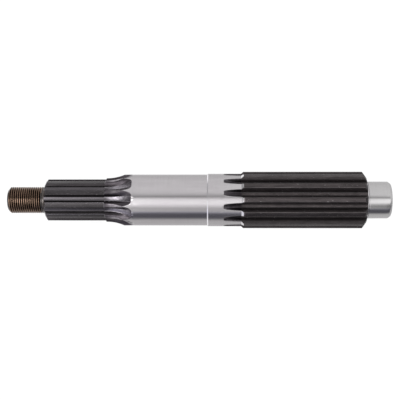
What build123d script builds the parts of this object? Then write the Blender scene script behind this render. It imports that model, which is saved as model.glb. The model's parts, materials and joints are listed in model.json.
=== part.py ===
from build123d import *
import math
import os

# A drive shaft turned, hobbed and ground from one steel bar, in millimetres.
# It lies along X with the threaded end towards -X. The origin is on the axis,
# halfway along, and a space of the large spline points straight down, so that
# the shaft lies on two teeth and rolls no further.

# Section lengths, in order from the threaded end to the plain stub
thread_length = 36.0
small_spline_length = 57.2
journal_length = 96.5
seat_length = 31.9
large_spline_length = 117.4
stub_length = 23.4

# Turned and ground diameters
thread_diameter = 25.0
thread_neck_diameter = 24.2
journal_diameter = 48.6
seat_diameter = 50.0
stub_diameter = 35.0

# Both splines have involute flanks, cut by a hob of this pressure angle
pressure_angle = 20.0

# Small spline
small_teeth = 10
small_pitch_diameter = 35.0
small_outer_diameter = 39.3
small_root_diameter = 33.3
small_tooth_thickness = 6.6
small_phase = 101.5

# Large spline
large_teeth = 12
large_pitch_diameter = 48.0
large_outer_diameter = 53.6
large_root_diameter = 41.5
large_tooth_thickness = 6.5
large_phase = 0.0

# Each hob leaves its own radius where the spaces run out. The small one also
# cuts the blank between its teeth, which leaves the hollow up to the journal.
small_hob_radius = 45.0
small_hob_tooth_height = 4.15
small_hob_overrun = 0.8
large_hob_radius = 54.0
large_hob_overrun = 4.5

# Chamfers, as length along the axis and height across it
thread_chamfer_length = 2.2
thread_chamfer_height = 2.4
small_chamfer_length = 1.7
small_chamfer_height = 3.0
seat_chamfer = 0.9
large_front_chamfer_length = 2.1
large_front_chamfer_height = 1.8
large_back_chamfer_length = 3.0
large_back_chamfer_height = 4.2
stub_chamfer_length = 2.4
stub_chamfer_height = 1.7

# Plain neck between the thread and the small spline
thread_neck_length = 3.0

# Grinding relief at the root of the stub
relief_width = 2.0
relief_depth = 0.35

# Sixty degree centre holes that the shaft is turned and ground between
thread_centre_bore = 4.0
thread_centre_mouth = 8.5
thread_centre_depth = 9.0
stub_centre_bore = 5.0
stub_centre_mouth = 10.6
stub_centre_depth = 11.5
centre_cone_half_angle = 30.0
drill_point_half_angle = 59.0

# How finely flanks and run-outs are followed, how far a cutter clears the
# metal, and how far past the surface the hob's tips are lifted
flank_steps = 4
root_steps = 2
run_out_steps = 4
cutter_clearance = 2.0
hob_exit = 0.8

# Places along the axis
total_length = (
    thread_length
    + small_spline_length
    + journal_length
    + seat_length
    + large_spline_length
    + stub_length
)
thread_end = -total_length / 2
small_face = thread_end + thread_length
small_end = small_face + small_spline_length
small_hob_place = small_end + small_hob_overrun
seat_start = small_end + journal_length
large_start = seat_start + seat_length
large_hob_place = large_start + large_hob_overrun
large_face = large_start + large_spline_length
stub_end = large_face + stub_length

# Radii
thread_radius = thread_diameter / 2
neck_radius = thread_neck_diameter / 2
small_radius = small_outer_diameter / 2
journal_radius = journal_diameter / 2
seat_radius = seat_diameter / 2
large_radius = large_outer_diameter / 2
stub_radius = stub_diameter / 2
collar_radius = small_root_diameter / 2 + small_hob_tooth_height
hollow_radius = small_hob_radius - small_hob_tooth_height


def involute(angle):
    return math.tan(angle) - angle


def half_space_angle(radius, lift, teeth, pitch_diameter, root_diameter, tooth_thickness):
    # Half the angle that the rolling hob clears at this radius, once it is
    # lifted out by this much. Its straight flanks sweep an involute, and its
    # tips sweep the root and the curve that leads from it into the flank.
    rack_angle = math.radians(pressure_angle)
    pitch_radius = pitch_diameter / 2
    base_radius = pitch_radius * math.cos(rack_angle)
    hob_half_width = math.pi * pitch_radius / teeth - tooth_thickness / 2
    tip_half_width = hob_half_width - (pitch_radius - root_diameter / 2) * math.tan(rack_angle)
    floor_radius = root_diameter / 2 + lift
    swing = math.acos(min(1.0, floor_radius / radius))
    tip_travel = math.sqrt(max(0.0, radius**2 - floor_radius**2))
    by_tip = tip_half_width / pitch_radius + abs(swing - tip_travel / pitch_radius)
    flank_angle = math.acos(min(1.0, base_radius / radius))
    if radius < base_radius or abs(flank_angle - rack_angle) > swing:
        return by_tip
    at_pitch = (hob_half_width - lift * math.tan(rack_angle)) / pitch_radius
    return max(by_tip, at_pitch - involute(rack_angle) + involute(flank_angle))


def space_section(place, lift, top_radius, spline):
    # One tooth space across the shaft, centred on +Y. Its floor is flat, short
    # straight lines round its root, and a curve follows each flank above them.
    floor_radius = spline["root_diameter"] / 2 + lift
    swing = math.acos(floor_radius / top_radius)
    flank = []
    for step in range(flank_steps + 1):
        radius = floor_radius / math.cos(swing * step / flank_steps)
        angle = half_space_angle(radius, lift, **spline)
        flank.append((radius * math.cos(angle), radius * math.sin(angle)))
    other_flank = [(x, -y) for x, y in flank]
    root_points = root_steps + 1
    outline = [
        Polyline(*flank[:root_points]),
        Spline(*flank[root_steps:]),
        ThreePointArc(flank[-1], (top_radius, 0), other_flank[-1]),
        Spline(*other_flank[root_steps:]),
        Polyline(*other_flank[:root_points]),
        Line(other_flank[0], flank[0]),
    ]
    across = Plane(origin=(place, 0, 0), x_dir=(0, 1, 0), z_dir=(1, 0, 0))
    return across * make_face(outline)


def space_cutter(spline, top_radius, hob_radius, hob_place, open_end, run_out_radius):
    # The hob's path: straight along the shaft, then lifted out along its own
    # radius until its tips clear the run-out's surface
    straight_section = space_section(hob_place, 0.0, top_radius, spline)
    straight = extrude(straight_section, amount=open_end - hob_place, dir=(1, 0, 0))
    away = -1 if open_end > hob_place else 1
    last_lift = run_out_radius + hob_exit - spline["root_diameter"] / 2
    last_swing = math.acos(1 - last_lift / hob_radius)
    sections = []
    for step in range(run_out_steps + 1):
        swing = last_swing * step / run_out_steps
        lift = hob_radius * (1 - math.cos(swing))
        place = hob_place + away * hob_radius * math.sin(swing)
        sections.append(space_section(place, lift, top_radius, spline))
    return straight + loft(sections)


def cut_spline(shaft, cutter, teeth, phase):
    cutters = [Rot(X=phase + 360 * tooth / teeth) * cutter for tooth in range(teeth)]
    return shaft - cutters


def centre_hole(end_place, inward, bore, mouth, depth):
    # Half section of a centre hole, from the axis out to its mouth
    cone_depth = (mouth - bore) / 2 / math.tan(math.radians(centre_cone_half_angle))
    point_depth = bore / 2 / math.tan(math.radians(drill_point_half_angle))
    return [
        (end_place + inward * (depth + point_depth), 0),
        (end_place + inward * depth, bore / 2),
        (end_place + inward * cone_depth, bore / 2),
        (end_place, mouth / 2),
    ]


def turned_blank():
    # The turned outline above the axis, spun round it
    hollow_rise = journal_radius - collar_radius
    hollow_angle = math.degrees(math.acos(1 - hollow_rise / hollow_radius))
    hollow = CenterArc((small_hob_place, collar_radius + hollow_radius), hollow_radius, -90, hollow_angle)
    front = centre_hole(thread_end, 1, thread_centre_bore, thread_centre_mouth, thread_centre_depth)
    front += [
        (thread_end, thread_radius - thread_chamfer_height),
        (thread_end + thread_chamfer_length, thread_radius),
        (small_face - thread_neck_length, thread_radius),
        (small_face - thread_neck_length, neck_radius),
        (small_face, neck_radius),
        (small_face, small_radius - small_chamfer_height),
        (small_face + small_chamfer_length, small_radius),
        (small_end, small_radius),
        (small_end, collar_radius),
        (small_hob_place, collar_radius),
    ]
    back = [
        (seat_start, journal_radius),
        (seat_start + seat_chamfer, seat_radius),
        (large_start, seat_radius),
        (large_start + large_front_chamfer_length, large_radius),
        (large_face - large_back_chamfer_length, large_radius),
        (large_face, large_radius - large_back_chamfer_height),
        (large_face, stub_radius - relief_depth),
        (large_face + relief_width - relief_depth, stub_radius - relief_depth),
        (large_face + relief_width, stub_radius),
        (stub_end - stub_chamfer_length, stub_radius),
        (stub_end, stub_radius - stub_chamfer_height),
    ]
    back += reversed(centre_hole(stub_end, -1, stub_centre_bore, stub_centre_mouth, stub_centre_depth))
    outline = [
        Polyline(*front),
        hollow,
        Polyline(hollow @ 1, *back),
        Line(back[-1], front[0]),
    ]
    return revolve(make_face(outline), axis=Axis.X)


def make_shaft():
    small_spline = {
        "teeth": small_teeth,
        "pitch_diameter": small_pitch_diameter,
        "root_diameter": small_root_diameter,
        "tooth_thickness": small_tooth_thickness,
    }
    small_cutter = space_cutter(
        small_spline,
        max(small_radius, journal_radius) + cutter_clearance,
        small_hob_radius,
        small_hob_place,
        small_face - cutter_clearance,
        journal_radius,
    )
    large_spline = {
        "teeth": large_teeth,
        "pitch_diameter": large_pitch_diameter,
        "root_diameter": large_root_diameter,
        "tooth_thickness": large_tooth_thickness,
    }
    large_cutter = space_cutter(
        large_spline,
        max(large_radius, seat_radius) + cutter_clearance,
        large_hob_radius,
        large_hob_place,
        large_face + cutter_clearance,
        seat_radius,
    )
    shaft = cut_spline(turned_blank(), small_cutter, small_teeth, small_phase)
    return cut_spline(shaft, large_cutter, large_teeth, large_phase)


shaft = make_shaft()
shaft.label = "shaft"
export_step(shaft, "parts/shaft.step")
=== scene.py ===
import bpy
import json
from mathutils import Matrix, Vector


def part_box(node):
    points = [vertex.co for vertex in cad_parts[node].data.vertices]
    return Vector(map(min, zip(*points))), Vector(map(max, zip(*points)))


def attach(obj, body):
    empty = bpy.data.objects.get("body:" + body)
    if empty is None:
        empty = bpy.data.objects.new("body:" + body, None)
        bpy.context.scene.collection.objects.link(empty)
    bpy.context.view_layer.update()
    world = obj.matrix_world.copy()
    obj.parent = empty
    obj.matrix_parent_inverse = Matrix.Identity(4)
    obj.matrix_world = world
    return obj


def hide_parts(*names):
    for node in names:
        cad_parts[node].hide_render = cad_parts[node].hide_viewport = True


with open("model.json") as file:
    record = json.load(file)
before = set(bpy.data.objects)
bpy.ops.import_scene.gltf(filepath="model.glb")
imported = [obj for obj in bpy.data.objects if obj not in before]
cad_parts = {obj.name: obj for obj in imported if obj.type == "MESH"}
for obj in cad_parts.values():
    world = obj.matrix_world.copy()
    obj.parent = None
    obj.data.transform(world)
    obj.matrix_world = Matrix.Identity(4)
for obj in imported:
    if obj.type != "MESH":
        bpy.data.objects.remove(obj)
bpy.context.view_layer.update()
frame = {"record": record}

import bmesh
import bpy
import json
import math
from mathutils import Matrix, Vector, noise

mm = 0.001
mounts = {mount["name"]: mount for mount in frame["record"]["mounts"]}
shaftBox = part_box("shaft")


def radiusOf(name):
    return mounts[name]["dims"]["r_mm"]


def endOf(name):
    # where a round mount's wall ends, in mm along the shaft
    return mounts[name]["pos_m"][0] / mm + mounts[name]["dims"]["length_mm"] / 2


def spread(first, last, steps, crowding=1.0):
    # evenly spaced values, or with a crowding over 1 closer together towards the last
    return [last + (first - last) * (1 - i / steps) ** crowding for i in range(steps + 1)]


def lerp(a, b, t):
    return a + (b - a) * t


def linear(hexColour):
    # sRGB hex to the linear colour that Blender's sockets take
    channels = [int(hexColour[i:i + 2], 16) / 255 for i in (1, 3, 5)]
    return [c / 12.92 if c <= 0.04045 else ((c + 0.055) / 1.055) ** 2.4 for c in channels] + [1.0]


def addNode(tree, kind, settings=None, links=None):
    # one node, its settings, and what feeds its inputs: a value, a colour or another node's output
    node = tree.nodes.new(kind)
    for name, value in (settings or {}).items():
        setattr(node, name, value)
    for name, value in (links or {}).items():
        if isinstance(value, bpy.types.NodeSocket):
            tree.links.new(value, node.inputs[name])
        else:
            node.inputs[name].default_value = value
    return node


# every length from here to the materials is in mm

thread = {
    "pitch": 2.0,
    "depth": 1.05,
    "crestFlat": 0.5,
    "rootFlat": 0.35,
    "cornerEase": 0.05,
    "rootEase": 0.14,
    "wearDepth": 0.03,
    "wearPerMm": 0.7,
    "wearRound": 3,
    "chamferLength": 2.2,
    "chamferHeight": 2.4,
    "neckRadius": 12.1,
    "neckLength": 3.0,
    "neckTaper": 0.4,
    "fadeLength": 1.0,
    "turnSteps": 120,
    "spareTurns": 2,
}

# the turned and ground body; its radii and most places come from the part's mounts
blank = {
    "threadEnd": shaftBox[0].x / mm,
    "stubEnd": shaftBox[1].x / mm,
    "threadRadius": radiusOf("nut_thread"),
    "journalRadius": radiusOf("journal"),
    "seatRadius": radiusOf("bearing_seat"),
    "stubRadius": radiusOf("stub_seat"),
    "smallFace": endOf("nut_thread") + thread["neckLength"],
    "smallLength": 57.2,
    "journalEnd": endOf("journal"),
    "largeStart": endOf("bearing_seat"),
    "largeLength": 117.4,
    "reliefWidth": 2.0,
    "reliefDepth": 0.35,
    "reliefCorner": 0.3,
    "reliefBreak": 0.05,
    "stubChamfer": 1.7,
    "edgeBreak": 0.15,
    "neckFoot": 0.25,
    "besideTips": 2.0,
    "besideStep": 0.3,
}

# stepShares: points on half a space's floor, root, flank, edge and half its tooth's crest
smallSpline = {
    "teeth": 10,
    "cellSteps": 36,
    "stepShares": (4, 3, 5, 2, 4),
    "pitchRadius": 17.5,
    "outerRadius": 19.65,
    "rootRadius": 16.65,
    "toothThickness": 6.6,
    "rootRise": 0.12,
    "floorRise": 0.35,
    "phase": 101.5,
    "hobRadius": 45.0,
    "hobToothHeight": 4.15,
    "hobOverrun": 0.8,
    "chamferLength": 1.7,
    "chamferHeight": 3.0,
    "edgeRound": 0.22,
    "faceBreak": 0.05,
    "shoulderBreak": 0.12,
    "shoulderStart": 0.1,
    "shoulderLength": 0.35,
}

largeSpline = {
    "teeth": 12,
    "cellSteps": 30,
    "stepShares": (3, 3, 4, 2, 3),
    "pitchRadius": 24.0,
    "outerRadius": 26.8,
    "rootRadius": 20.75,
    "toothThickness": 6.5,
    "rootRise": 0.35,
    "floorRise": 0.38,
    "phase": 0.0,
    "hobRadius": 54.0,
    "hobOverrun": 4.5,
    "frontChamferLength": 2.1,
    "frontChamferHeight": 1.8,
    "backChamferLength": 3.0,
    "backChamferHeight": 4.2,
    "edgeRound": 0.3,
    "backBreak": 0.12,
}
pressureAngle = math.radians(20)

centreHoles = {
    "thread": {"bore": 2.0, "mouth": 4.25, "depth": 9.0},
    "stub": {"bore": 2.5, "mouth": 5.3, "depth": 11.5},
    "ringOutside": 3,
    "coneSlope": math.tan(math.radians(30)),
    "pointSlope": math.tan(math.radians(59)),
}

# rings along each stretch; more of them follow a curve closer
ringCounts = {
    "smallChamfer": 4, "smallCrest": 16, "hollow": 14, "smallTips": 14, "journal": 10, "seat": 5,
    "largeTips": 18, "frontChamfer": 3, "largeCrest": 26, "backChamfer": 5, "stub": 5,
}
ringSteps = 360
ringStart = smallSpline["phase"] - 180 / smallSpline["teeth"]
largeFirst = largeSpline["phase"] - 180 / largeSpline["teeth"]
# whole steps from the first point of the large spline's rings to that of the others
largeOffset = round(ringStart - largeFirst)


def involute(angle):
    return math.tan(angle) - angle


def halfSpaceAngle(spline, radius, lift):
    # half the angle that the rolling hob clears at this radius, once lifted out by this much:
    # its tips sweep the root, its straight flanks sweep the involute
    pitchRadius = spline["pitchRadius"]
    baseRadius = pitchRadius * math.cos(pressureAngle)
    slope = math.tan(pressureAngle)
    hobHalfWidth = math.pi * pitchRadius / spline["teeth"] - spline["toothThickness"] / 2
    tipHalfWidth = hobHalfWidth - (pitchRadius - spline["rootRadius"]) * slope
    floorRadius = spline["rootRadius"] + lift
    swing = math.acos(min(1.0, floorRadius / radius))
    tipTravel = math.sqrt(max(0.0, radius ** 2 - floorRadius ** 2))
    byTip = tipHalfWidth / pitchRadius + abs(swing - tipTravel / pitchRadius)
    flankAngle = math.acos(min(1.0, baseRadius / radius))
    if radius < baseRadius or abs(flankAngle - pressureAngle) > swing:
        return byTip
    atPitch = (hobHalfWidth - lift * slope) / pitchRadius
    return max(byTip, atPitch - involute(pressureAngle) + involute(flankAngle))


def halfCell(spline, lift, radius):
    # (angle, radius) from the middle of a space to the middle of its tooth
    floorSteps, rootSteps, flankSteps, edgeSteps, crestSteps = spline["stepShares"]
    toothMiddle = math.pi / spline["teeth"]
    floorRadius = min(spline["rootRadius"] + lift, radius)
    floorEdge = min(halfSpaceAngle(spline, floorRadius, lift), 0.9 * toothMiddle)
    rise = max(math.acos(floorRadius / radius), 0.001)
    edge = min(spline["edgeRound"], 0.3 * (radius - floorRadius))
    edgeRise = math.acos(min(1.0, floorRadius / max(radius - 0.75 * edge, floorRadius)))
    lowRise = min(0.35 * rise, spline["rootRise"])
    points = []
    for i, angle in enumerate(spread(0, floorEdge, floorSteps)):
        points.append((angle, floorRadius + spline["floorRise"] * (i / floorSteps) ** 3))
    for turn in spread(0, lowRise, rootSteps)[1:] + spread(lowRise, edgeRise, flankSteps)[1:]:
        height = floorRadius / math.cos(turn)
        angle = min(halfSpaceAngle(spline, min(height, radius), lift), toothMiddle)
        points.append((angle, height + spline["floorRise"] * (1 - turn / rise) ** 2))
    points = [(angle, min(height, radius)) for angle, height in points]
    corner = min(halfSpaceAngle(spline, radius, lift), toothMiddle)
    crestStart = min(corner + edge / radius, toothMiddle)
    points.append((lerp(corner, crestStart, 0.25), lerp(points[-1][1], radius, 0.72)))
    points += [(angle, radius) for angle in spread(crestStart, toothMiddle, crestSteps)]
    return points


def splineRing(spline, lift, radius):
    # a whole ring of (angle, radius), starting at the middle of a tooth
    half = halfCell(spline, lift, radius)
    cell = [(-angle, r) for angle, r in half[:0:-1]] + half[:-1]
    ring = []
    for tooth in range(spline["teeth"]):
        middle = math.radians(spline["phase"]) + 2 * math.pi * tooth / spline["teeth"]
        ring += [(middle + angle, r) for angle, r in cell]
    return ring


def plainRing(radius, start=ringStart):
    return [(math.radians(start + i * 360 / ringSteps), radius) for i in range(ringSteps)]


tipCrowding = 1.5  # rings stand closer towards the tips of the run-outs


def smallStations():
    # (x, radius, lift, surface) from the small spline's face to the end of its run-out
    s = smallSpline
    outer, root = s["outerRadius"], s["rootRadius"]
    face, end = blank["smallFace"], blank["smallFace"] + blank["smallLength"]
    hob = end + s["hobOverrun"]
    collar = root + s["hobToothHeight"]
    hollowRadius = s["hobRadius"] - s["hobToothHeight"]
    journal = blank["journalRadius"]
    b = blank["edgeBreak"]
    slope = s["chamferHeight"] / s["chamferLength"]
    chamferEnd, shoulderEnd = face + s["chamferLength"], end + s["shoulderLength"]
    foot = outer - s["chamferHeight"]
    stations = [(face, foot + s["faceBreak"], 0, "smallFace")]
    for x in spread(face + 2 * s["faceBreak"], chamferEnd - b, ringCounts["smallChamfer"]):
        stations.append((x, foot + slope * (x - face), 0, "smallChamfer"))
    stations.append((chamferEnd + b, outer, 0, "smallEdge"))
    crestPlaces = spread(chamferEnd + 1, end - 4 * b, ringCounts["smallCrest"])
    stations += [(x, outer, 0, "smallCrest") for x in crestPlaces]
    stations.append((end - b, outer, 0, "smallCrest"))
    stations.append((end + s["shoulderStart"], outer + s["shoulderBreak"], 0, "shoulder"))
    stations.append((shoulderEnd, collar - b, 0, "shoulder"))
    stations.append((shoulderEnd + b, collar, 0, "hollow"))
    stations.append((hob, collar, 0, "hollow"))
    hollowEnd = hob + math.sqrt(hollowRadius ** 2 - (hollowRadius - (journal - collar)) ** 2)
    tipLift = journal - root
    tip = hob + math.sqrt(s["hobRadius"] ** 2 - (s["hobRadius"] - tipLift) ** 2)
    for x in spread(hob, hollowEnd, ringCounts["hollow"])[1:]:
        rise = hollowRadius - math.sqrt(hollowRadius ** 2 - (x - hob) ** 2)
        stations.append((x, min(collar + rise, journal), hobLift(s, x - hob), "hollow"))
    for x in spread(hollowEnd, tip, ringCounts["smallTips"], tipCrowding)[1:]:
        stations.append((x, journal, hobLift(s, x - hob), "journal"))
    return stations, tip


def hobLift(spline, distance):
    return spline["hobRadius"] - math.sqrt(spline["hobRadius"] ** 2 - distance ** 2)


def largeStations():
    # from the first touch of the large spline's run-outs to its far face
    s = largeSpline
    outer, root = s["outerRadius"], s["rootRadius"]
    seat = blank["seatRadius"]
    start, face = blank["largeStart"], blank["largeStart"] + blank["largeLength"]
    hob = start + s["hobOverrun"]
    tip = hob - math.sqrt(s["hobRadius"] ** 2 - (s["hobRadius"] - (seat - root)) ** 2)
    b = blank["edgeBreak"]
    tipPlaces = reversed(spread(start, tip, ringCounts["largeTips"], tipCrowding))
    stations = [(x, seat, hobLift(s, hob - x), "seat") for x in tipPlaces]
    frontSlope = s["frontChamferHeight"] / s["frontChamferLength"]
    chamferEnd = start + s["frontChamferLength"]
    for x in spread(start + b / 3, chamferEnd - b, ringCounts["frontChamfer"]):
        stations.append((x, seat + frontSlope * (x - start), hobLift(s, hob - x), "frontChamfer"))
    stations.append((chamferEnd + b, outer, hobLift(s, hob - chamferEnd - b), "frontChamfer"))
    stations.append((hob, outer, 0, "largeCrest"))
    backStart = face - s["backChamferLength"]
    crestPlaces = spread(hob + 2, backStart - 1, ringCounts["largeCrest"])
    stations += [(x, outer, 0, "largeCrest") for x in crestPlaces]
    stations.append((backStart - b, outer, 0, "largeCrest"))
    backSlope = s["backChamferHeight"] / s["backChamferLength"]
    for x in spread(backStart + b, face - b, ringCounts["backChamfer"]):
        stations.append((x, outer - backSlope * (x - backStart), 0, "backChamfer"))
    stations.append((face, outer - s["backChamferHeight"] - s["backBreak"], 0, "backChamfer"))
    return stations, tip


def buildRings():
    # every ring of the body in order, with the surface that lies behind it; along the journal
    # the rings turn a little, from the small spline's points to those of the large one
    b, besideTips, besideStep = blank["edgeBreak"], blank["besideTips"], blank["besideStep"]
    neckFoot = plainRing(thread["neckRadius"] + blank["neckFoot"])
    rings = [(blank["smallFace"], neckFoot, "smallFace", False)]
    stations, smallTip = smallStations()
    for x, radius, lift, surface in stations:
        rings.append((x, splineRing(smallSpline, lift, radius), surface, True))
    journal, seat = blank["journalRadius"], blank["seatRadius"]
    stepStart = blank["journalEnd"]
    stations, largeTip = largeStations()
    turned = largeFirst + largeOffset
    count = ringCounts["journal"]
    for i, x in enumerate(spread(smallTip + 1.25 * besideTips, stepStart - besideStep, count)):
        rings.append((x, plainRing(journal, lerp(ringStart, turned, i / count)), "journal", False))
    stepEnd = stepStart + seat - journal
    for x, radius, surface in (
        (stepStart - b, journal, "journal"),
        (stepStart + b, journal + b, "seatStep"),
        (stepEnd - b, seat - b, "seatStep"),
        (stepEnd + b, seat, "seatStep"),
    ):
        rings.append((x, plainRing(radius, turned), surface, False))
    for x in spread(stepEnd + 2 * besideStep, largeTip - besideTips, ringCounts["seat"]):
        rings.append((x, plainRing(seat, turned), "seat", False))
    for x, radius, lift, surface in stations:
        ring = splineRing(largeSpline, lift, radius)
        rings.append((x, ring[largeOffset:] + ring[:largeOffset], surface, True))
    largeFace = stations[-1][0]
    stub = blank["stubRadius"]
    relief = stub - blank["reliefDepth"]
    reliefEnd = largeFace + blank["reliefWidth"]
    corner, small = blank["reliefCorner"], blank["reliefBreak"]
    for x, radius, surface in (
        (largeFace, relief + corner, "backChamfer"),
        (largeFace + corner, relief, "relief"),
        (reliefEnd - blank["reliefDepth"], relief, "relief"),
        (reliefEnd - small, stub - 0.6 * small, "relief"),
        (reliefEnd + b, stub, "stub"),
    ):
        rings.append((x, plainRing(radius, turned), surface, False))
    stubPlain = endOf("stub_seat")
    for x in spread(reliefEnd + 1, stubPlain - b, ringCounts["stub"]):
        rings.append((x, plainRing(stub, turned), "stub", False))
    stubEnd = blank["stubEnd"]
    endRadius = stub - blank["stubChamfer"]
    for x, radius, surface in (
        (stubPlain + b, stub - 0.6 * b, "stub"),
        (stubEnd - b, endRadius + 0.5 * b, "stubChamfer"),
        (stubEnd, endRadius - b, "stubChamfer"),
    ):
        rings.append((x, plainRing(radius, turned), surface, False))
    return rings


def threadProfile():
    # (share of a pitch, depth below the crest) round one groove, with its corners eased
    t = thread
    pitch, depth = t["pitch"], t["depth"]
    flank = (pitch - t["crestFlat"] - t["rootFlat"]) / 2
    crestEnd, ease, rootEase = t["crestFlat"], t["cornerEase"], t["rootEase"]
    points = [
        (ease, 0.0),
        (crestEnd - ease, 0.0),
        (crestEnd + ease, 2 * ease),
        (crestEnd + flank - ease, depth - rootEase),
        (crestEnd + flank + 2 * ease, depth),
        (pitch - flank - 2 * ease, depth),
        (pitch - flank + ease, depth - rootEase),
        (pitch - ease, 2 * ease),
    ]
    return [(place / pitch, depthHere) for place, depthHere in points]


def buildThread(vertices, addFace):
    # rows that follow the right-hand helix, clipped square at both ends, with the groove fading
    # out before the neck; returns the rings at its two ends
    t = thread
    start, end = blank["threadEnd"], blank["smallFace"]
    radius = blank["threadRadius"]
    steps, pitch = t["turnSteps"], t["pitch"]
    profile = threadProfile()
    rowsPerTurn = len(profile)
    turns = math.ceil((end - start) / pitch) + 2 * t["spareTurns"]
    slope = t["chamferHeight"] / t["chamferLength"]
    neckStart = end - t["neckLength"]
    firstRing, lastRing = [None] * steps, [None] * steps
    grid = []
    for row in range(turns * rowsPerTurn):
        share, depth = profile[row % rowsPerTurn]
        line = []
        for step in range(steps):
            x = start + pitch * (row // rowsPerTurn - t["spareTurns"] + share + step / steps)
            angle = math.radians(ringStart) + 2 * math.pi * step / steps
            if x <= start or x >= end:
                ring = firstRing if x <= start else lastRing
                r = radius - t["chamferHeight"] if x <= start else t["neckRadius"]
                if ring[step] is None:
                    ring[step] = len(vertices)
                    vertices.append(ringPoint(start if x <= start else end, angle, r))
                line.append(ring[step])
                continue
            fade = min(1.0, max(0.0, (neckStart - x) / t["fadeLength"]))
            around = t["wearRound"]
            wornAt = Vector((x * t["wearPerMm"], math.cos(angle) * around, math.sin(angle) * around))
            r = radius - depth * fade - abs(t["wearDepth"] * noise.noise(wornAt)) * fade
            r = min(r, radius - t["chamferHeight"] + slope * (x - start))
            r = lerp(r, t["neckRadius"], min(1.0, max(0.0, (x - neckStart) / t["neckTaper"])))
            line.append(len(vertices))
            vertices.append(ringPoint(x, angle, r))
        grid.append(line)
    for row in range(len(grid) - 1):
        for step in range(steps):
            after = (step + 1) % steps
            turned = rowsPerTurn if after == 0 else 0
            if row + 1 + turned >= len(grid):
                continue
            corners = (grid[row][step], grid[row + turned][after],
                       grid[row + 1 + turned][after], grid[row + 1][step])
            place = vertices[corners[0]][0] / mm
            plain = place > neckStart - t["fadeLength"] or place < start + t["chamferLength"] / 2
            addFace(corners, "neck" if plain else "thread")
    return firstRing, lastRing


def ringPoint(x, angle, radius):
    return (x * mm, radius * math.cos(angle) * mm, radius * math.sin(angle) * mm)


surfaces = [
    "thread", "neck", "smallFace", "smallChamfer", "smallEdge", "smallCrest", "smallSpace", "shoulder",
    "hollow", "scoop", "scoopWall", "journal", "seatStep", "seat", "runOut", "frontChamfer", "largeEdge",
    "largeCrest", "largeSpace", "backChamfer", "relief", "stub", "stubChamfer", "endFace", "centre",
]


def surfaceOf(surface, step, spline):
    # which finish a quad of a toothed ring takes: its own, its edge's, or that of the hobbed space
    floorSteps, rootSteps, flankSteps, edgeSteps, crestSteps = spline["stepShares"]
    half = spline["cellSteps"] // 2
    along = step % spline["cellSteps"] + 0.5 - half
    fromMiddle = abs(along)
    if fromMiddle > half - crestSteps:
        return surface
    onEdge = fromMiddle > half - crestSteps - edgeSteps
    driven = along > 0
    if spline is smallSpline:
        if surface in ("hollow", "journal", "shoulder"):
            return "scoop" if fromMiddle < floorSteps + rootSteps else "scoopWall"
        # driven edges take the lighter finish: the hub's wear and a painted highlight along them
        return "smallEdge" if onEdge and driven else "smallSpace"
    if surface == "seat":
        return "runOut"
    # the edges take a lighter finish: worn scale and a painted highlight line along each
    return "largeEdge" if onEdge else "largeSpace"


def evenAngles(count):
    return [math.radians(ringStart) + 2 * math.pi * i / count for i in range(count)]


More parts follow.
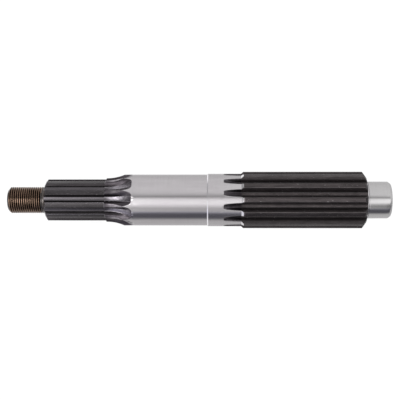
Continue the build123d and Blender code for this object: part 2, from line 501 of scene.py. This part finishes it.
def buildShaft():
    vertices, faces, kinds = [], [], []

    def addFace(corners, surface):
        # drop repeated corners, so that clipped quads become triangles or vanish
        unique = [c for i, c in enumerate(corners) if c != corners[i - 1]]
        if len(set(unique)) == len(unique) and len(unique) > 2:
            faces.append(unique)
            kinds.append(surfaces.index(surface))

    def addRing(x, ring):
        first = len(vertices)
        vertices.extend(ringPoint(x, angle, radius) for angle, radius in ring)
        return list(range(first, first + len(ring)))

    def addCap(outer, x, inward, hole, angles):
        # the end face, its centre hole's cone, bore and drill point
        b = blank["edgeBreak"]
        cone = (hole["mouth"] - hole["bore"]) / centreHoles["coneSlope"]
        point = hole["bore"] / centreHoles["pointSlope"]
        places = [
            (x, hole["mouth"] + b, "endFace"),
            (x + inward * b, hole["mouth"], "endFace"),
            (x + inward * cone, hole["bore"], "centre"),
            (x + inward * hole["depth"], hole["bore"], "centre"),
        ]
        last = outer
        for place, radius, surface in places:
            ring = addRing(place, [(angle, radius) for angle in angles])
            joinRings(last, ring, surface, inward < 0)
            last = ring
        tip = len(vertices)
        vertices.append(((x + inward * (hole["depth"] + point)) * mm, 0, 0))
        for i in range(len(last)):
            corners = (last[i], last[(i + 1) % len(last)], tip)
            addFace(corners if inward < 0 else corners[::-1], "centre")

    def joinRings(a, b, surface, forward):
        # quads between two rings with as many points each
        for i in range(len(a)):
            k = (i + 1) % len(a)
            corners = (a[i], a[k], b[k], b[i])
            addFace(corners if forward else corners[::-1], surface)

    def reduceRing(fine, coarse, surface, fineFirst):
        # joins a ring to one with a third of its points
        share = len(fine) // len(coarse)
        for i in range(len(fine)):
            k = (i + 1) % len(fine)
            p = coarse[(i + 1) // share % len(coarse)]
            q = coarse[(i + 2) // share % len(coarse)]
            corners = (fine[i], fine[k], q, p)
            addFace(corners if fineFirst else corners[::-1], surface)

    firstRing, neckRing = buildThread(vertices, addFace)
    threadAngles = evenAngles(len(firstRing))
    addCap(firstRing, blank["threadEnd"], 1, centreHoles["thread"], threadAngles)
    last = None
    for x, ring, surface, toothed in buildRings():
        spline = smallSpline if x < blank["journalEnd"] else largeSpline
        current = addRing(x, ring)
        if last is None:
            reduceRing(current, neckRing, "smallFace", False)
        else:
            between = toothed and lastToothed
            for i in range(ringSteps):
                k = (i + 1) % ringSteps
                step = i if spline is smallSpline else (i + largeOffset) % ringSteps
                kind = surfaceOf(surface, step, spline) if between else surface
                addFace((last[i], last[k], current[k], current[i]), kind)
        last, lastToothed = current, toothed
    endAngles = evenAngles(ringSteps // 3)
    hole = centreHoles["stub"]
    innerRadius = hole["mouth"] + centreHoles["ringOutside"]
    inner = addRing(blank["stubEnd"], [(angle, innerRadius) for angle in endAngles])
    reduceRing(last, inner, "endFace", True)
    addCap(inner, blank["stubEnd"], -1, hole, endAngles)

    mesh = bpy.data.meshes.new("shaft")
    mesh.from_pydata(vertices, [], faces)
    mesh.polygons.foreach_set("material_index", kinds)
    cleaned = bmesh.new()
    cleaned.from_mesh(mesh)
    bmesh.ops.dissolve_degenerate(cleaned, dist=smallestEdge * mm, edges=cleaned.edges)
    cleaned.to_mesh(mesh)
    cleaned.free()
    mesh.shade_smooth()
    mesh.set_sharp_from_angle(angle=math.radians(sharpAngle))
    return mesh


smallestEdge = 0.002  # shorter edges are merged away
sharpAngle = 24  # in degrees; flatter corners are shaded smooth
mesh = buildShaft()
shaft = bpy.data.objects.new("shaftBody", mesh)
bpy.context.scene.collection.objects.link(shaft)
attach(shaft, "root")
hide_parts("shaft")
print("shaft mesh:", len(mesh.vertices), "vertices,",
      sum(len(p.vertices) - 2 for p in mesh.polygons), "triangles")


def newMaterial(name):
    material = bpy.data.materials.new(name)
    material.use_nodes = True
    tree = material.node_tree
    tree.nodes.clear()
    return material, tree


def grain(tree, place, along, around, detail):
    # noise whose grains measure so many mm along the shaft and round it
    scale = (1 / (along * mm), 1 / (around * mm), 1 / (around * mm))
    scaled = addNode(tree, "ShaderNodeVectorMath", {"operation": "MULTIPLY"}, {0: place, 1: scale})
    noiseNode = addNode(tree, "ShaderNodeTexNoise", links={
        "Vector": scaled.outputs[0], "Scale": 1.0, "Detail": detail, "Roughness": 0.6})
    return noiseNode.outputs[0]


def fillRamp(tree, share, stops):
    # a colour ramp through (position, colour) stops
    ramp = addNode(tree, "ShaderNodeValToRGB", links={"Fac": share})
    elements = ramp.color_ramp.elements
    while len(elements) < len(stops):
        elements.new(0.5)
    for element, (position, colour) in zip(elements, stops):
        element.position = position
        element.color = colour
    return ramp.outputs["Color"]


def byRadius(tree, radius, tones, which):
    # a colour that changes between the tones with the distance from the axis
    first, last = tones[0][0], tones[-1][0]
    share = addNode(tree, "ShaderNodeMapRange", links={
        "Value": radius, "From Min": first * mm, "From Max": last * mm}).outputs["Result"]
    stops = [((tone[0] - first) / (last - first), linear(tone[which])) for tone in tones]
    return fillRamp(tree, share, stops)


metal = {
    "noiseReach": (0.34, 0.66),  # the noise hardly ever leaves these values
    "nickEdge": 0.03,
    "oilRoughness": 0.2,
}


def steel(name, look):
    # metal whose tone and sheen wander between two values, with tool marks as its bump
    material, tree = newMaterial(name)
    place = addNode(tree, "ShaderNodeTexCoord").outputs["Object"]
    across = addNode(tree, "ShaderNodeVectorMath", {"operation": "MULTIPLY"}, {
        0: place, 1: (0.0, 1.0, 1.0)}).outputs[0]
    radius = addNode(tree, "ShaderNodeVectorMath", {"operation": "LENGTH"}, {0: across}).outputs["Value"]
    marked = place
    if look.get("rings"):
        marked = addNode(tree, "ShaderNodeCombineXYZ", links={"X": radius}).outputs[0]
    marks = grain(tree, marked, *look["marks"], 2.0)
    patches = grain(tree, place, *look["patches"], 4.0)
    mixed = addNode(tree, "ShaderNodeMix", {"data_type": "FLOAT"}, {
        0: look["patchShare"], 2: marks, 3: patches}).outputs[0]
    lowest, highest = metal["noiseReach"]
    tone = addNode(tree, "ShaderNodeMapRange", links={
        "Value": mixed, "From Min": lowest, "From Max": highest}).outputs["Result"]
    if "tones" in look:
        darkest, lightest = (byRadius(tree, radius, look["tones"], which) for which in (1, 2))
    else:
        darkest, lightest = linear(look["dark"]), linear(look["light"])
    colour = addNode(tree, "ShaderNodeMix", {"data_type": "RGBA"}, {
        0: tone, 6: darkest, 7: lightest}).outputs[2]
    sheen = addNode(tree, "ShaderNodeMapRange", links={
        "Value": tone, "To Min": look["dullest"], "To Max": look["sharpest"]}).outputs["Result"]
    if "nicks" in look:
        # small bright spots, where something hard struck through the scale
        nicks = look["nicks"]
        spots = grain(tree, place, *nicks["size"], 1.0)
        level = nicks["level"]
        struck = addNode(tree, "ShaderNodeMapRange", links={
            "Value": spots, "From Min": level, "From Max": level + metal["nickEdge"]}).outputs["Result"]
        colour = addNode(tree, "ShaderNodeMix", {"data_type": "RGBA"}, {
            0: struck, 6: colour, 7: linear(nicks["colour"])}).outputs[2]
    bump = addNode(tree, "ShaderNodeBump", links={
        "Height": mixed, "Distance": look["relief"] * mm, "Strength": 1.0}).outputs["Normal"]
    shader = addNode(tree, "ShaderNodeBsdfPrincipled", links={
        "Base Color": colour, "Metallic": look.get("metallic", 1.0), "Roughness": sheen,
        "Coat Weight": look.get("oil", 0.0), "Coat Roughness": metal["oilRoughness"], "Normal": bump})
    addNode(tree, "ShaderNodeOutputMaterial", links={"Surface": shader.outputs["BSDF"]})
    return material


# marks and patches are in mm, (along the shaft, round it); tones are (mm from the axis, darkest,
# lightest), and dark and light are the same without the change over the radius

# hardened steel, cylindrically ground: wheel lines 0.05 mm apart, drawn 0.6 mm apart so that they
# show; the eye sees a clear band of light with softly brushed edges
groundLook = {
    "marks": (0.6, 30.0), "patches": (60.0, 8.0), "patchShare": 0.7,
    "dark": "#B6B2B5", "light": "#C1BEC0", "dullest": 0.18, "sharpest": 0.14, "relief": 0.0003,
}
finishes = {
    # turned thread, brown rust in its grooves and crests rubbed to a coppery shine by the nut
    "thread": steel("rustedThread", {
        "marks": (1.0, 1.4), "patches": (9.0, 6.0), "patchShare": 0.6,
        "tones": [
            (11.45, "#1A110D", "#301F17"), (12.1, "#251912", "#402C20"),
            (12.35, "#3C2C23", "#624938"), (12.48, "#6C594B", "#A68B79"),
        ],
        "dullest": 0.3, "sharpest": 0.18, "relief": 0.02}),
    # turned neck, greyer than the thread and smooth
    "neck": steel("turnedNeck", {
        "marks": (0.5, 20.0), "patches": (3.0, 3.0), "patchShare": 0.5,
        "dark": "#3E3A38", "light": "#6C6765", "dullest": 0.3, "sharpest": 0.2, "relief": 0.004}),
    # turned end of the small spline, fine rings round the neck that catch a grey light
    "smallFace": steel("turnedShoulder", {
        "rings": True, "marks": (0.4, 1.0), "patches": (2.0, 3.0), "patchShare": 0.4,
        "dark": "#5A5759", "light": "#8E8B8D", "dullest": 0.4, "sharpest": 0.25, "relief": 0.005}),
    # turned before hardening, so its lines lie under a grey scale
    "smallChamfer": steel("turnedTaper", {
        "marks": (0.4, 12.0), "patches": (2.0, 2.0), "patchShare": 0.5,
        "dark": "#4C494B", "light": "#767375", "dullest": 0.4, "sharpest": 0.28, "relief": 0.005}),
    # edges of the driven flanks, rubbed by the hub and set in a lighter tone: a thin painted highlight
    # along each
    "smallEdge": steel("rubbedEdge", {
        "marks": (14.0, 0.6), "patches": (12.0, 3.0), "patchShare": 0.5,
        "dark": "#4A474B", "light": "#8A868B", "dullest": 0.32, "sharpest": 0.22, "relief": 0.002}),
    # tops of the small teeth, dark heat scale with long faint scratches and a trace of oil
    "smallCrest": steel("scaledCrest", {
        "marks": (22.0, 0.6), "patches": (16.0, 3.0), "patchShare": 0.5,
        "dark": "#3A3739", "light": "#4A4749", "oil": 0.15,
        "dullest": 0.28, "sharpest": 0.22, "relief": 0.002,
        "nicks": {"size": (3.0, 0.5), "level": 0.7, "colour": "#7A7678"}}),
    # floors wiped smooth by the hob, darker scale left on the flanks; the tone is darkest where floor
    # meets flank, painted shade in the root corners, and darkens again at the outer edges of the
    # undriven flanks, painted shade there
    "smallSpace": steel("hobbedSpace", {
        "marks": (22.0, 0.4), "patches": (14.0, 1.5), "patchShare": 0.5,
        "tones": [
            (16.6, "#535053", "#656165"), (16.78, "#494649", "#5B575B"), (17.05, "#242123", "#343133"),
            (18.6, "#2A2729", "#3E3B3D"), (19.4, "#252224", "#373436"),
        ],
        "metallic": 0.88, "dullest": 0.26, "sharpest": 0.2, "relief": 0.003}),
    # the small step where the hob first bites the collar, set in a lighter grey: a line of broken light
    # painted on as a highlight
    "shoulder": steel("hobbedShoulder", {
        "marks": (0.6, 3.0), "patches": (2.0, 2.0), "patchShare": 0.5,
        "dark": "#5C585C", "light": "#8C888C", "dullest": 0.36, "sharpest": 0.25, "relief": 0.004}),
    # where the hob swept up to the journal, steel brightened in long strokes
    "hollow": steel("hobbedHollow", {
        "marks": (7.0, 0.8), "patches": (5.0, 3.0), "patchShare": 0.45,
        "tones": [
            (20.7, "#403C40", "#5A555A"), (21.6, "#544F54", "#9A959A"), (24.3, "#5C575C", "#A6A1A6"),
        ],
        "dullest": 0.32, "sharpest": 0.2, "relief": 0.006}),
    # floors of the run-outs, streaked by the hob's feed, with the spline's scale at the deep end;
    # lightest halfway up, a painted highlight, and darker again towards the nose, painted shade
    "scoop": steel("hobbedScoop", {
        "marks": (9.0, 0.7), "patches": (5.0, 1.6), "patchShare": 0.35,
        "tones": [
            (16.65, "#464346", "#5B575B"), (16.9, "#5C585D", "#8A868B"), (17.6, "#6C686F", "#B4AFB6"),
            (19.0, "#625E64", "#B0ABB2"), (21.0, "#4A464B", "#8E898F"), (24.3, "#3A373B", "#625E63"),
        ],
        "dullest": 0.3, "sharpest": 0.18, "relief": 0.01}),
    # their walls, duller, with the scale that the hob's flanks leave
    "scoopWall": steel("hobbedScoopWall", {
        "marks": (5.0, 0.6), "patches": (6.0, 2.0), "patchShare": 0.5,
        "tones": [
            (16.7, "#262325", "#3A3638"), (20.0, "#2E2A2D", "#4A464A"), (24.3, "#3A363A", "#5E595E"),
        ],
        "dullest": 0.34, "sharpest": 0.24, "relief": 0.006}),
    "journal": steel("groundJournal", groundLook),
    # turned lead on to the seat, lighter than the journal: a bright hairline round the shaft, painted
    # highlight
    "seatStep": steel("turnedStep", {
        "marks": (0.3, 12.0), "patches": (3.0, 4.0), "patchShare": 0.4,
        "dark": "#BDBABE", "light": "#D4D2D5", "dullest": 0.3, "sharpest": 0.2, "relief": 0.002}),
    # ground like the journal and a little duller, from the ring that was pressed on
    "seat": steel("groundSeat", dict(groundLook, dullest=0.21, sharpest=0.17)),
    # run-outs of the large spline, cross marks of the hob's feed, still black in the deep end
    "runOut": steel("hobbedRunOut", {
        "marks": (1.2, 4.0), "patches": (5.0, 2.0), "patchShare": 0.5,
        "tones": [
            (20.7, "#232022", "#353134"), (23.0, "#2C292C", "#474347"), (25.0, "#3C383C", "#6A666A"),
        ],
        "dullest": 0.38, "sharpest": 0.26, "relief": 0.012}),
    # turned lead of the large teeth, left pale by the seat's grinding
    "frontChamfer": steel("turnedChamfer", {
        "marks": (0.4, 12.0), "patches": (2.0, 3.0), "patchShare": 0.4,
        "dark": "#A5A2A5", "light": "#CFCDCF", "dullest": 0.34, "sharpest": 0.22, "relief": 0.004}),
    # edges of the large teeth, scale rubbed thin and set in a lighter grey than crest and flank: a
    # painted highlight line along each edge
    "largeEdge": steel("rubbedScaleEdge", {
        "marks": (12.0, 0.8), "patches": (12.0, 3.0), "patchShare": 0.5,
        "dark": "#403C3D", "light": "#6C6768", "dullest": 0.34, "sharpest": 0.25, "relief": 0.002}),
    # tops of the large teeth, black heat scale, patchy and nicked
    "largeCrest": steel("blackCrest", {
        "marks": (20.0, 0.6), "patches": (14.0, 3.0), "patchShare": 0.6,
        "dark": "#312D2E", "light": "#504A4B", "metallic": 0.85, "oil": 0.1,
        "dullest": 0.32, "sharpest": 0.22, "relief": 0.003,
        "nicks": {"size": (2.2, 0.8), "level": 0.72, "colour": "#8A8687"}}),
    # dull speckled floors, blacker flanks; the floor's light tone is kept to its middle and the tone is
    # darkest where floor meets flank: painted shade in the root corners
    "largeSpace": steel("blackSpace", {
        "marks": (4.0, 0.7), "patches": (9.0, 2.5), "patchShare": 0.6,
        "tones": [
            (20.75, "#2E292A", "#534C4D"), (20.85, "#2A2526", "#474142"), (21.05, "#1E1A1B", "#2F2B2C"),
            (24.0, "#242021", "#383334"), (26.6, "#2C2829", "#423D3E"),
        ],
        "metallic": 0.6, "dullest": 0.42, "sharpest": 0.3, "relief": 0.006,
        "nicks": {"size": (1.2, 0.7), "level": 0.73, "colour": "#7E7A7B"}}),
    # turned far end of the large spline, matt black over faint rings
    "backChamfer": steel("blackTaper", {
        "marks": (0.5, 8.0), "patches": (2.0, 2.0), "patchShare": 0.5,
        "dark": "#1E1A1C", "light": "#3C373A", "dullest": 0.42, "sharpest": 0.32, "relief": 0.006}),
    # turned groove at the stub's root, paler than the stub beside it: a painted highlight line
    "relief": steel("turnedRelief", {
        "marks": (0.3, 12.0), "patches": (2.0, 3.0), "patchShare": 0.4,
        "dark": "#BDBBBD", "light": "#D8D6D8", "dullest": 0.3, "sharpest": 0.2, "relief": 0.003}),
    # ground like the journal, a shade cooler
    "stub": steel("groundStub", dict(groundLook, dark="#B8B6B7", light="#C1C0C0")),
    # turned lead, softer than the ground stub beside it
    "stubChamfer": steel("turnedStubEdge", {
        "marks": (0.3, 12.0), "patches": (2.0, 3.0), "patchShare": 0.4,
        "dark": "#B4B2B3", "light": "#C4C2C3", "dullest": 0.34, "sharpest": 0.24, "relief": 0.002}),
    # faced ends, fine rings round the centre hole
    "endFace": steel("facedEnd", {
        "rings": True, "marks": (0.35, 1.0), "patches": (5.0, 5.0), "patchShare": 0.35,
        "dark": "#7D7A7C", "light": "#A8A5A7", "dullest": 0.4, "sharpest": 0.26, "relief": 0.006}),
    # drilled and countersunk holes, dull rings in a darker grey than the faced end
    "centre": steel("drilledCentre", {
        "marks": (0.4, 6.0), "patches": (2.0, 2.0), "patchShare": 0.5,
        "dark": "#4A4748", "light": "#7A7778", "dullest": 0.45, "sharpest": 0.3, "relief": 0.006}),
}
for surface in surfaces:
    shaft.data.materials.append(finishes[surface])
print("materials:", len(finishes))


# lengths here are in m and angles in degrees
studio = {
    "cameraDistance": 0.813,
    "cameraSide": 0.020,
    "cameraElevation": 75,
    "aim": 0.0014,
    "frameWidth": 0.3815,
    "floorSize": 3.0,
    "floorGap": 0.0002,
    "floorGlow": 1.07,
    "glowShare": 0.85,
    "worldStrength": 4.0,
    "coolFrom": 160,
    "coolness": 1.14,
}

# brightness seen square to the shaft, in degrees from the back over the top to the front
surround = [
    (-180, 0.132), (-168, 0.149), (-160, 0.46), (-150, 0.747), (-130, 0.713), (-105, 0.7),
    (-60, 0.75), (-30, 0.735), (-12, 0.854), (5, 0.929), (60, 1.015), (70, 0.989), (77, 0.864),
    (84, 0.662), (89.5, 0.347), (92, 0.427), (97, 0.869), (103, 1.307), (118, 1.477),
    (124, 1.454), (129, 1.157), (136, 1.004), (142, 0.671), (156, 0.754), (161, 0.513),
    (167, 0.182), (174, 0.142), (180, 0.132),
]

# the same past the threaded end, where the lamp above hangs nearer
surroundThread = [
    (-180, 0.5), (-168, 0.7), (-160, 1.2), (-130, 1.5), (-105, 1.3), (-60, 1.2), (-30, 1.6),
    (-5, 1.5), (15, 0.9), (50, 0.8), (70, 0.78), (77, 0.55), (84, 0.55), (89, 1.0), (94, 2.4),
    (99, 3.9), (118, 4.0), (125, 3.3), (131, 2.0), (138, 1.4), (146, 1.3), (156, 1.3), (165, 1.0),
    (180, 0.5),
]

# past the plain stub, where a dark edge stands in front
surroundStub = [
    (-180, 0.132), (-168, 0.149), (-160, 0.46), (-150, 0.747), (-60, 0.75), (5, 0.929),
    (60, 1.015), (70, 1.05), (77, 1.05), (84, 0.84), (89.5, 0.42), (92, 0.5), (97, 1.0),
    (103, 1.5), (118, 1.6), (126, 1.2), (132, 0.75), (139, 0.38), (146, 0.3), (152, 0.36),
    (158, 0.42), (164, 0.3), (172, 0.15), (180, 0.132),
]

# and lengthwise, seen in what slopes towards the thread
surroundEnd = [
    (-180, 1.2), (-130, 1.2), (-100, 0.9), (-60, 0.6), (0, 0.55), (60, 0.55), (78, 0.45),
    (88, 0.4), (97, 0.9), (120, 1.2), (150, 1.2), (180, 1.2),
]

# where each takes over: the X of the direction at which it starts and is complete
surroundChanges = [
    (surroundThread, -0.16, -0.2),
    (surroundEnd, -0.55, -0.78),
    (surroundStub, 0.15, 0.175),
]


def roundRamp(tree, share, levels):
    # a ramp round the shaft, a little bluer low in front and behind; it holds a part of each
    # brightness, since a ramp stops at 1, and the world's strength makes up for it
    stops = []
    for degrees, value in levels:
        part = value / studio["worldStrength"]
        blue = studio["coolness"] if abs(degrees) > studio["coolFrom"] else 1.0
        stops.append(((degrees + 180) / 360, (part, part, part * blue, 1.0)))
    return fillRamp(tree, share, stops)


def setWorld():
    # soft light that changes round the shaft and along it; the camera sees plain white
    world = bpy.data.worlds.new("studio")
    bpy.context.scene.world = world
    world.use_nodes = True
    tree = world.node_tree
    tree.nodes.clear()
    direction = addNode(tree, "ShaderNodeTexCoord").outputs["Generated"]
    parts = addNode(tree, "ShaderNodeSeparateXYZ", links={"Vector": direction})
    angle = addNode(tree, "ShaderNodeMath", {"operation": "ARCTAN2"}, {
        0: parts.outputs["Z"], 1: parts.outputs["Y"]})
    share = addNode(tree, "ShaderNodeMapRange", links={
        "Value": angle.outputs[0], "From Min": -math.pi, "From Max": math.pi}).outputs["Result"]
    mixed = roundRamp(tree, share, surround)
    for levels, nearest, farthest in surroundChanges:
        past = addNode(tree, "ShaderNodeMapRange", {"interpolation_type": "SMOOTHSTEP"}, {
            "Value": parts.outputs["X"], "From Min": nearest, "From Max": farthest}).outputs["Result"]
        mixed = addNode(tree, "ShaderNodeMix", {"data_type": "RGBA"}, {
            0: past, 6: mixed, 7: roundRamp(tree, share, levels)}).outputs[2]
    lit = addNode(tree, "ShaderNodeBackground", links={
        "Color": mixed, "Strength": studio["worldStrength"]})
    white = addNode(tree, "ShaderNodeBackground", links={"Color": (1, 1, 1, 1), "Strength": 1.0})
    cameraRay = addNode(tree, "ShaderNodeLightPath").outputs["Is Camera Ray"]
    shown = addNode(tree, "ShaderNodeMixShader", links={
        "Fac": cameraRay, 1: lit.outputs["Background"], 2: white.outputs["Background"]})
    addNode(tree, "ShaderNodeOutputWorld", links={"Surface": shown.outputs["Shader"]})


def setFloor():
    # matt paper with a glow that only the camera sees: white all round, with the shaft's shadow
    size = studio["floorSize"]
    ground = bpy.data.meshes.new("floor")
    corners = [(-size, -size), (size, -size), (size, size), (-size, size)]
    level = shaftBox[0].z - studio["floorGap"]
    ground.from_pydata([(x, y, level) for x, y in corners], [], [(0, 1, 2, 3)])
    floor = bpy.data.objects.new("floor", ground)
    bpy.context.scene.collection.objects.link(floor)
    material, tree = newMaterial("palePaper")
    paper = addNode(tree, "ShaderNodeBsdfDiffuse", links={"Color": linear("#FAFAFA")})
    glow = addNode(tree, "ShaderNodeEmission", links={
        "Color": (1, 1, 1, 1), "Strength": studio["floorGlow"]})
    cameraRay = addNode(tree, "ShaderNodeLightPath").outputs["Is Camera Ray"]
    seen = addNode(tree, "ShaderNodeMath", {"operation": "MULTIPLY"}, {
        0: cameraRay, 1: studio["glowShare"]})
    mixed = addNode(tree, "ShaderNodeMixShader", links={
        "Fac": seen.outputs[0], 1: paper.outputs["BSDF"], 2: glow.outputs["Emission"]})
    addNode(tree, "ShaderNodeOutputMaterial", links={"Surface": mixed.outputs["Shader"]})
    ground.materials.append(material)
    floor.visible_glossy = False


def setCamera():
    # a long lens, nearly square to the shaft from above
    data = bpy.data.cameras.new("camera")
    camera = bpy.data.objects.new("camera", data)
    bpy.context.scene.collection.objects.link(camera)
    elevation = math.radians(studio["cameraElevation"])
    distance = studio["cameraDistance"]
    back, up = -distance * math.cos(elevation), distance * math.sin(elevation)
    place = Vector((studio["cameraSide"], back, up))
    forward = (Vector((studio["aim"], 0, 0)) - place).normalized()
    right = (Vector((1, 0, 0)) - forward * forward.x).normalized()
    turn = Matrix((right, right.cross(forward), -forward)).transposed()
    camera.matrix_world = Matrix.Translation(place) @ turn.to_4x4()
    data.lens = data.sensor_width * distance / studio["frameWidth"]
    bpy.context.scene.camera = camera


setWorld()
setFloor()
setCamera()
bpy.context.scene.view_settings.view_transform = "Standard"
print("studio ready")

bpy.context.view_layer.update()
